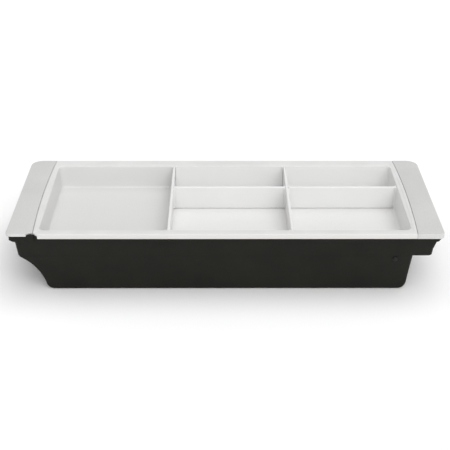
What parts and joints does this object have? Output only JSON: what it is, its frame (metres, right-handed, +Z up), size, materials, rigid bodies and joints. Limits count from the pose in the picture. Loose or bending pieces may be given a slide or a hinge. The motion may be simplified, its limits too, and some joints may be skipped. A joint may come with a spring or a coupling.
{
  "type": "cash drawer",
  "caption": "Shallow drop-in cash drawer for a bar: black flanged tub with a cove at one end and a step at the other, grey end plates and a pale lift-out money tray with slot-in dividers.",
  "frame": {"origin": "middle of the tub's base", "axes": "+X along the length towards the stepped end, +Y to the rear long side, +Z up"},
  "size_m": [0.48, 0.204, 0.078],
  "materials": {
    "tub_black": "fine matt moulding texture, dark olive black",
    "plate_grey": "satin mid-grey",
    "tray_grey": "satin pale grey",
    "divider_grey": "satin pale grey",
    "screw_steel": "zinc plated",
    "stud_black": "black oxide"
  },
  "bodies": {
    "drawer": {"drawer_tub": "tub_black", "left_end_plate": "plate_grey", "right_end_plate": "plate_grey", "left_plate_screw_front": "screw_steel", "left_plate_screw_middle": "screw_steel", "left_plate_screw_rear": "screw_steel", "right_plate_screw_front": "screw_steel", "right_plate_screw_middle": "screw_steel", "right_plate_screw_rear": "screw_steel", "front_wall_stud": "stud_black", "front_push_nut": "screw_steel", "rear_wall_stud": "stud_black", "rear_push_nut": "screw_steel"},
    "tray": {"money_tray": "tray_grey"},
    "note_divider": {"note_divider": "divider_grey"},
    "middle_divider": {"middle_divider": "divider_grey"},
    "centre_cross_divider": {"centre_cross_divider": "divider_grey"},
    "right_cross_divider": {"right_cross_divider": "divider_grey"}
  },
  "joints": [
    {"name": "tray_lift", "type": "slide", "parent": "drawer", "child": "tray", "axis": [0, 0, 1], "range_m": [0, 0.05]},
    {"name": "note_divider_lift", "type": "slide", "parent": "tray", "child": "note_divider", "axis": [0, 0, 1], "range_m": [0, 0.04]},
    {"name": "middle_divider_lift", "type": "slide", "parent": "tray", "child": "middle_divider", "axis": [0, 0, 1], "range_m": [0, 0.04]},
    {"name": "centre_cross_divider_lift", "type": "slide", "parent": "tray", "child": "centre_cross_divider", "axis": [0, 0, 1], "range_m": [0, 0.04]},
    {"name": "right_cross_divider_lift", "type": "slide", "parent": "tray", "child": "right_cross_divider", "axis": [0, 0, 1], "range_m": [0, 0.04]}
  ]
}
